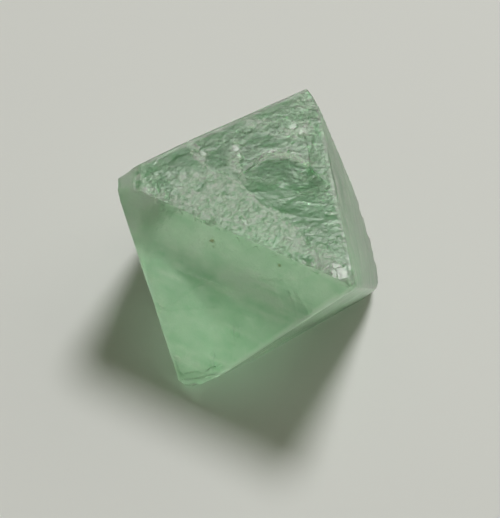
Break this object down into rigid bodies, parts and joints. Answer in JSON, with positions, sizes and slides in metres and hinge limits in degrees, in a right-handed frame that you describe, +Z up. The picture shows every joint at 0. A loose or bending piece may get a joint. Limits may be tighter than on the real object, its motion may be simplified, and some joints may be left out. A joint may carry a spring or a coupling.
{
  "type": "fluorite octahedron",
  "caption": "Pale green fluorite crystal cleaved by hand into an octahedron, lying on one face, with a rough frosted top and smooth clear sides.",
  "frame": {"origin": "on the surface the crystal lies on, under the middle of its bounding box", "axes": "+Z up, square to the resting face and the top face; +X along the long front edge of the top face; the front face leans towards -Y"},
  "size_m": [0.0202, 0.0212, 0.0164],
  "materials": {
    "green_fluorite": "satin"
  },
  "bodies": {
    "root": {"fluorite_octahedron": "green_fluorite"}
  },
  "joints": []
}
